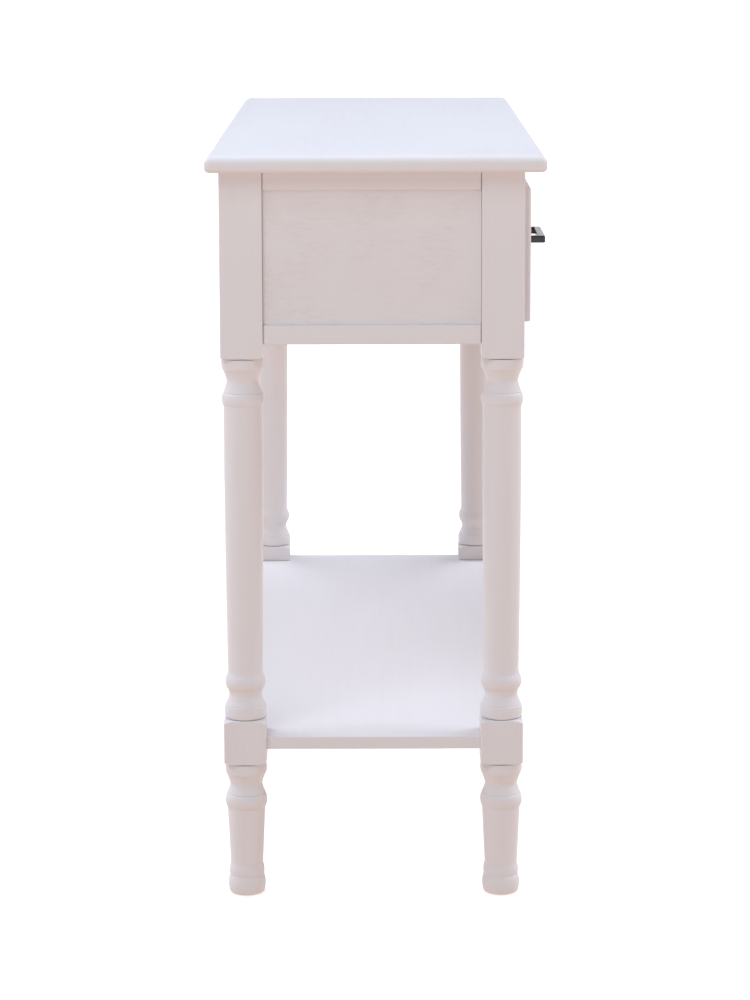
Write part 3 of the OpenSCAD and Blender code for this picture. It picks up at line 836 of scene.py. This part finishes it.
def make_rails():
    """Rails between the posts. Their tongues are out of sight, so each rail ends at its post."""
    for node in ("front_top_rail", "front_bottom_rail", "back_top_rail", "back_bottom_rail"):
        low, high = trimmed(node, 0, TONGUE + JOINT_GAP)
        bm = board_mesh(low, high, RAIL_ARRIS)
        add_piece(node + "_board", bm, node, PAINT_ALONG["x"])
    for end in ENDS:
        for level in ("top", "bottom"):
            node = f"end_{level}_rail_{end}"
            low, high = trimmed(node, 1, TONGUE + JOINT_GAP)
            bm = board_mesh(low, high, RAIL_ARRIS)
            add_piece(node + "_board", bm, node, PAINT_ALONG["y"])


def make_stile():
    """The upright between the drawers."""
    low, high = trimmed("front_stile", 2, TONGUE + JOINT_GAP)
    bm = board_mesh(low, high, PAINTED_ARRIS)
    add_piece("front_stile_board", bm, "front_stile", PAINT_ALONG["z"])


def make_panels():
    """Thin panels that run just into the posts, so that no light shows past their edges."""
    for end in ENDS:
        node = "end_panel_" + end
        low, high = trimmed(node, 1, TONGUE - JOINT_GAP)
        bm = board_mesh(low, high, SAWN_ARRIS)
        add_piece(node + "_sheet", bm, node, PANEL_PAINT)
    low, high = trimmed("back_panel", 0, TONGUE - JOINT_GAP)
    bm = board_mesh(low, high, SAWN_ARRIS)
    add_piece("back_panel_sheet", bm, "back_panel", PAINT_ALONG["x"])


def make_shelf():
    """The flat shelf, whose corners sit in the blocks."""
    bm = board_mesh(*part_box("shelf"), PAINTED_ARRIS)
    add_piece("shelf_board", bm, "shelf", PAINT_ALONG["x"])


def make_inner_frame():
    """Partition and cleats behind the stile."""
    low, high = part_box("centre_partition")
    bm = board_mesh(low, high, SAWN_ARRIS)
    add_piece("centre_partition_board", bm, "centre_partition", WOOD_ALONG["y"])
    cleat_low, cleat_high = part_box("centre_cleats")
    bm = board_mesh((high.x, cleat_low.y, cleat_low.z), cleat_high, SAWN_ARRIS)
    merge(bm, board_mesh(cleat_low, (low.x, cleat_high.y, cleat_high.z), SAWN_ARRIS))
    add_piece("centre_cleats_boards", bm, "centre_cleats", WOOD_ALONG["y"])


# ---------- screws ----------

SCREW_HEAD_RADIUS = 4 * MM
SCREW_HEAD_HEIGHT = 2.5 * MM
SCREW_SIDES = 40
DOME_STEPS = 6
DOME_CROWN = 0.04
RECESS_LENGTH = 4.2 * MM
RECESS_WIDTH = 1.1 * MM
RECESS_DEPTH = 1.6 * MM


def screw_head_mesh(domed):
    """A screw head with a cross recess. Its seat is at the origin and it faces +Z."""
    radius, height = SCREW_HEAD_RADIUS, SCREW_HEAD_HEIGHT
    if domed:
        crown = DOME_CROWN * radius
        reach = radius * (1 - DOME_CROWN)
        profile = [(reach, 0.0)]
        for angle in quarter_turn(DOME_STEPS):
            profile.append((reach * math.cos(angle) + crown, height * math.sin(angle)))
    else:
        profile = [(0.5 * radius, 0.0), (0.97 * radius, 0.8 * height)]
        profile += [(radius, 0.88 * height), (0.97 * radius, height), (0.5 * radius, height)]
    head = loft([circle(0, 0, z, ring_radius, SCREW_SIDES) for ring_radius, z in profile])
    cross = bmesh.new()
    for length, width in ((RECESS_LENGTH, RECESS_WIDTH), (RECESS_WIDTH, RECESS_LENGTH)):
        low = (-length / 2, -width / 2, height - RECESS_DEPTH)
        add_box(cross, low, (length / 2, width / 2, height + PAST_FACE))
    return less(head, cross)


def screws_mesh(places, domed):
    """Screw heads at places, each (seat, direction it faces, turn of its recess)."""
    bm = bmesh.new()
    for seat, facing, turn in places:
        head = screw_head_mesh(domed)
        spin = Matrix.Rotation(turn, 4, "Z")
        head.transform(Matrix.Translation(seat) @ turn_to_face(facing) @ spin)
        merge(bm, head)
    return bm


def hole_cutter(places, radius, depth):
    """Round cutters, each centred on a place and running both ways along a direction."""
    bm = bmesh.new()
    for seat, facing, _ in places:
        bmesh.ops.create_cone(
            bm, cap_ends=True, segments=SCREW_SIDES, radius1=radius, radius2=radius,
            depth=2 * depth, matrix=Matrix.Translation(seat) @ turn_to_face(facing),
        )
    return bm


# ---------- drawers ----------

FRONT_ROUND = 3 * MM
FRONT_STEPS = 7
SIDE_GROOVE_DEPTH = 6 * MM

# Room left around a runner in its groove
GROOVE_END_GAP = 0.5 * MM
GROOVE_LOWER_GAP = 0.7 * MM
GROOVE_UPPER_GAP = 0.3 * MM


def make_drawer_front(side):
    """A drawer front with rounded face edges, cut at the back for its sides and bottom."""
    node = f"drawer_{side}_front"
    low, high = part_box(node)
    cuts = [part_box(f"drawer_{side}_{place}_side") for place in ("outer", "inner")]
    cuts.append(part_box(f"drawer_{side}_bottom"))
    bm = box_mesh(low, high)
    face = [e for e in bm.edges if all(abs(v.co.y - low.y) < TOUCHING for v in e.verts)]
    round_edges(bm, face, FRONT_ROUND, FRONT_STEPS)
    soften(bm, SAWN_ARRIS)
    cutter = bmesh.new()
    for cut in cuts:
        add_box(cutter, *cut)
    add_piece(node + "_board", less(bm, cutter), node, PAINT_ALONG["x"])


def make_drawer_box(side):
    """Sides with runner grooves, back and bottom of one drawer."""
    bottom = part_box(f"drawer_{side}_bottom")
    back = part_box(f"drawer_{side}_back")
    runner_low, runner_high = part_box("runner_end_" + side)
    middle = node_centre(f"drawer_{side}_front").x
    for place in ("outer", "inner"):
        node = f"drawer_{side}_{place}_side"
        low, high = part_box(node)
        outwards = 1 if (low.x + high.x) / 2 > middle else -1
        outer_x = high.x if outwards > 0 else low.x
        inner_x = outer_x - outwards * SIDE_GROOVE_DEPTH
        past_x = outer_x + outwards * PAST_FACE
        groove_low = (
            min(inner_x, past_x), runner_low.y - GROOVE_END_GAP, runner_low.z - GROOVE_LOWER_GAP,
        )
        groove_high = (
            max(inner_x, past_x), high.y + PAST_FACE, runner_high.z + GROOVE_UPPER_GAP,
        )
        bm = board_mesh(low, high, SAWN_ARRIS, [(groove_low, groove_high), bottom, back])
        add_piece(node + "_board", bm, node, WOOD_ALONG["y"])
    node = f"drawer_{side}_back"
    add_piece(node + "_board", board_mesh(*back, SAWN_ARRIS), node, WOOD_ALONG["x"])
    node = f"drawer_{side}_bottom"
    add_piece(node + "_sheet", board_mesh(*bottom, PLY_ARRIS), node, PLYWOOD)


# ---------- pulls ----------

PULL_BAR = 8 * MM
PULL_ROUND = 1.8 * MM
PULL_OUTER_CORNER = 2.6 * MM
PULL_INNER_CORNER = 1.6 * MM
PULL_CORNER_STEPS = 6
PULL_ROUND_STEPS = 5
PULL_SCREW_TURNS = (0.5, 1.2)


def corner_arc(x, y, radius, start):
    """A quarter turn about a centre in plan, from a start angle in quarters."""
    turns = [math.pi / 2 * (start + i / PULL_CORNER_STEPS) for i in range(PULL_CORNER_STEPS + 1)]
    return [Vector((x + radius * math.cos(a), y + radius * math.sin(a))) for a in turns]


def make_pull(side):
    """A square bar bent out of one piece: two arms and a grip."""
    node = "pull_" + side
    low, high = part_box(node)
    outer, inner = PULL_OUTER_CORNER, PULL_INNER_CORNER
    left, right, front, back = low.x, high.x, low.y, high.y
    plan = [Vector((left, back))]
    plan += corner_arc(left + outer, front + outer, outer, 2)
    plan += corner_arc(right - outer, front + outer, outer, 3)
    plan += [Vector((right, back)), Vector((right - PULL_BAR, back))]
    grip_back = front + PULL_BAR
    plan += reversed(corner_arc(right - PULL_BAR - inner, grip_back + inner, inner, 3))
    plan += reversed(corner_arc(left + PULL_BAR + inner, grip_back + inner, inner, 2))
    plan += [Vector((left + PULL_BAR, back))]
    bm = bmesh.new()
    face = bm.faces.new([bm.verts.new((p.x, p.y, low.z)) for p in plan])
    grown = bmesh.ops.extrude_face_region(bm, geom=[face])
    raised = [v for v in grown["geom"] if isinstance(v, bmesh.types.BMVert)]
    bmesh.ops.translate(bm, verts=raised, vec=(0, 0, high.z - low.z))
    level = [
        e for e in bm.edges
        if abs(e.verts[0].co.z - e.verts[1].co.z) < TOUCHING
        and not all(abs(v.co.y - back) < TOUCHING for v in e.verts)
    ]
    round_edges(bm, level, PULL_ROUND, PULL_ROUND_STEPS)
    add_piece(node + "_bar", bm, node, PULL_METAL)


def make_pull_screws(side):
    """Screw heads inside the drawer, against the back of its front."""
    node = "pull_screws_" + side
    low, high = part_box(node)
    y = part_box(f"drawer_{side}_front")[1].y
    z = (low.z + high.z) / 2
    screws_x = (low.x + SCREW_HEAD_RADIUS, high.x - SCREW_HEAD_RADIUS)
    places = [((x, y, z), (0, 1, 0), turn) for x, turn in zip(screws_x, PULL_SCREW_TURNS)]
    add_piece(node + "_heads", screws_mesh(places, True), node, ZINC)


# ---------- braces, runners, glides and studs ----------

BRACE_ARM = 36 * MM
BRACE_SCREW_INSET = 14 * MM
FIRST_BRACE_SCREW_TURN = 0.4


def make_braces():
    """Corner braces under the top, and the screws that hold the top through them."""
    braces = bmesh.new()
    places = []
    low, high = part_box("corner_braces")
    for corner in CORNERS:
        post_low, post_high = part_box("post_" + corner)
        side = 1 if post_low.x > 0 else -1
        toward = 1 if "front" in corner else -1
        edge_x = high.x if side > 0 else low.x
        post_x = post_low.x if side > 0 else post_high.x
        edge_y = low.y if toward > 0 else high.y
        post_y = post_high.y if toward > 0 else post_low.y
        plan = [
            (edge_x, post_y + toward * BRACE_ARM),
            (edge_x, post_y),
            (post_x, post_y),
            (post_x, edge_y),
            (post_x - side * BRACE_ARM, edge_y),
        ]
        bottom = [Vector((x, y, low.z)) for x, y in plan]
        top = [Vector((x, y, high.z)) for x, y in plan]
        brace = loft([bottom, top])
        bmesh.ops.recalc_face_normals(brace, faces=brace.faces)
        soften(brace, SAWN_ARRIS)
        merge(braces, brace)
        seat = (post_x - side * BRACE_SCREW_INSET / 2, post_y + toward * BRACE_SCREW_INSET, low.z)
        places.append((seat, (0, 0, -1), FIRST_BRACE_SCREW_TURN + len(places)))
    add_piece("corner_braces_blocks", braces, "corner_braces", WOOD_ALONG["x"])
    add_piece("top_screws_heads", screws_mesh(places, True), "top_screws", ZINC)


RUNNER_SCREW_TURN = 0.3
RUNNER_SCREW_TURN_PER_METRE = 40
SCREW_HOLE_RADIUS = SCREW_HEAD_RADIUS + 0.2 * MM
SCREW_HOLE_DEPTH = SCREW_HEAD_HEIGHT + 0.5 * MM


def make_runners():
    """Runners with sunk screws."""
    screw_low, screw_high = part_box("runner_screws")
    screw_y = (screw_low.y + SCREW_HEAD_RADIUS, screw_high.y - SCREW_HEAD_RADIUS)
    places = []
    for end in ENDS:
        for place in ("end", "centre"):
            node = f"runner_{place}_{end}"
            low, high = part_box(node)
            faces_right = (place == "centre") == (end == "right")
            face_x = high.x if faces_right else low.x
            facing = (1, 0, 0) if faces_right else (-1, 0, 0)
            z = (low.z + high.z) / 2
            inset = SCREW_HEAD_HEIGHT * facing[0]
            seats = []
            for y in screw_y:
                turn = RUNNER_SCREW_TURN + y * RUNNER_SCREW_TURN_PER_METRE
                seats.append(((face_x - inset, y, z), facing, turn))
            cutter = hole_cutter(seats, SCREW_HOLE_RADIUS, SCREW_HOLE_DEPTH)
            bm = less(board_mesh(low, high, SAWN_ARRIS), cutter)
            add_piece(node + "_strip", bm, node, WOOD_ALONG["y"])
            places += seats
    heads = screws_mesh(places, False)
    add_piece("runner_screws_heads", heads, "runner_screws", ZINC)


# (radius, height) in millimetres
GLIDE_OUTLINE = ((10.4, 0), (11.4, 0.15), (12, 0.6), (12, 1.1), (11.6, 1.5))


def make_glides():
    """Round nylon glides under the feet."""
    glides = bmesh.new()
    outline = [Vector((radius * MM, height * MM)) for radius, height in GLIDE_OUTLINE]
    for corner in CORNERS:
        axis = node_centre("foot_" + corner)
        merge(glides, turned_mesh(axis.x, axis.y, 0.0, outline))
    add_piece("foot_glides_discs", glides, "foot_glides", NYLON)


def finish_studs():
    """The studs stay as the CAD made them, inside the legs, in zinc-plated steel."""
    for node in ("upper_studs", "lower_studs"):
        stud = frame["nodes"][node]
        stud.data.materials.clear()
        stud.data.materials.append(ZINC)


# ---------- studio ----------

CAMERA_PLACE = Vector((-3.6917, 0.003, 1.0527))
CAMERA_YAW = math.radians(0.058)
CAMERA_PITCH = math.radians(-8.662)
CAMERA_ROLL = math.radians(-0.166)
CAMERA_LENS = 111.64
CAMERA_SHIFT = -0.12
SENSOR_WIDTH = 36
NEAREST_SEEN = 0.1
FARTHEST_SEEN = 200


def make_camera():
    """A view of the left end from a little above the top."""
    data = bpy.data.cameras.new("camera")
    data.lens = CAMERA_LENS
    data.sensor_width = SENSOR_WIDTH
    data.shift_y = CAMERA_SHIFT
    data.clip_start = NEAREST_SEEN
    data.clip_end = FARTHEST_SEEN
    camera = bpy.data.objects.new("camera", data)
    bpy.context.scene.collection.objects.link(camera)
    forward = Vector((
        math.cos(CAMERA_PITCH) * math.cos(CAMERA_YAW),
        math.cos(CAMERA_PITCH) * math.sin(CAMERA_YAW),
        math.sin(CAMERA_PITCH),
    ))
    right = Vector((forward.y, -forward.x, 0)).normalized()
    up = right.cross(forward)
    tilted_right = math.cos(CAMERA_ROLL) * right + math.sin(CAMERA_ROLL) * up
    tilted_up = tilted_right.cross(forward)
    turn = Matrix((tilted_right, tilted_up, -forward)).transposed()
    camera.matrix_world = Matrix.Translation(CAMERA_PLACE) @ turn.to_4x4()
    bpy.context.scene.camera = camera


FLOOR_RADIUS = 70
FLOOR_SIDES = 96


def make_floor():
    """A wide pale floor. Diffuse light ignores it: the world's warm glow stands in for its bounce."""
    bm = bmesh.new()
    bmesh.ops.create_circle(bm, cap_ends=True, segments=FLOOR_SIDES, radius=FLOOR_RADIUS)
    mesh = bpy.data.meshes.new("studio_floor")
    bm.to_mesh(mesh)
    bm.free()
    mesh.materials.append(studio_floor())
    floor = bpy.data.objects.new("studio_floor", mesh)
    bpy.context.scene.collection.objects.link(floor)
    floor.visible_diffuse = False


def place_light(name, kind, place, target, power, colour):
    """A light that faces a target and doesn't show itself."""
    data = bpy.data.lights.new(name, kind)
    data.energy = power
    data.color = colour
    light = bpy.data.objects.new(name, data)
    bpy.context.scene.collection.objects.link(light)
    light.location = place
    light.rotation_euler = (Vector(target) - Vector(place)).to_track_quat("-Z", "Y").to_euler()
    light.visible_camera = False
    return data


SKY_LOW = (0.965, 0.98, 1.01)
SKY_HIGH = (0.22, 0.22, 0.235)
FLOOR_GLOW = (0.83, 0.635, 0.54)

# From straight down at 0, through the horizon at 0.5, to straight up at 1
SKY_STOPS = (
    (0.0, FLOOR_GLOW),
    (0.470, FLOOR_GLOW),
    (0.485, SKY_LOW),
    (0.535, SKY_LOW),
    (0.588, SKY_HIGH),
)


def make_world():
    """Soft light all round: a warm glow from below, a pale horizon and a dim ceiling."""
    world = bpy.data.worlds.new("studio")
    world.use_nodes = True
    tree = world.node_tree
    direction = add_node(tree, "TexCoord").outputs["Generated"]
    height = add_node(tree, "SeparateXYZ", Vector=direction).outputs["Z"]
    sky = ramp(tree, spread(tree, height, -1.0, 1.0), SKY_STOPS)
    tree.links.new(sky, tree.nodes["Background"].inputs["Color"])
    bpy.context.scene.world = world


# Suns, aimed at the origin: name, place and strength
SUNS = (
    ("back_side", (1.5, 2.8, 3.9), 1.72),
    ("front_side", (1.4, -2.8, 3.8), 1.90),
)
SUN_COLOUR = (0.79, 0.86, 1.0)
SUN_WIDTH = math.radians(50)

# Panels, aimed at the middle of the table: name, place, watts, colour, and width and height in metres
PANELS = (
    ("camera_side", (-2.7, 1.0, 3.2), 46, (0.80, 0.90, 1.0), (1.6, 2.4)),
    ("warm_card", (-1.2, -2.5, 0.9), 6.0, (1.0, 0.95, 0.92), (1.6, 1.2)),
    ("cool_card", (-1.7, 2.3, 0.9), 4.0, (0.66, 0.78, 1.0), (1.6, 1.2)),
)
PANEL_TARGET = (0, 0, 0.5)


def make_lights():
    """Broad cool light from high beyond the far end, on both sides, a cool fill from above the
    camera, and two weak cards near the left end: a warm one in front and a cool one behind."""
    for name, place, strength in SUNS:
        sun = place_light(name, "SUN", place, (0, 0, 0), strength, SUN_COLOUR)
        sun.angle = SUN_WIDTH
    for name, place, watts, colour, (width, height) in PANELS:
        panel = place_light(name, "AREA", place, PANEL_TARGET, watts, colour)
        panel.shape = "RECTANGLE"
        panel.size = width
        panel.size_y = height


def set_view_transform():
    """Plain colour, with no film look."""
    settings = bpy.context.scene.view_settings
    settings.view_transform = "Standard"
    settings.look = "None"
    settings.exposure = 0
    settings.gamma = 1


# ---------- the table ----------

set_view_transform()
make_camera()
make_floor()
make_world()
make_lights()
make_top()
make_posts()
make_columns()
make_blocks()
make_feet()
make_rails()
make_stile()
make_panels()
make_shelf()
make_inner_frame()
make_braces()
make_runners()
make_glides()
finish_studs()
for drawer_side in ENDS:
    make_drawer_front(drawer_side)
    make_drawer_box(drawer_side)
    make_pull(drawer_side)
    make_pull_screws(drawer_side)
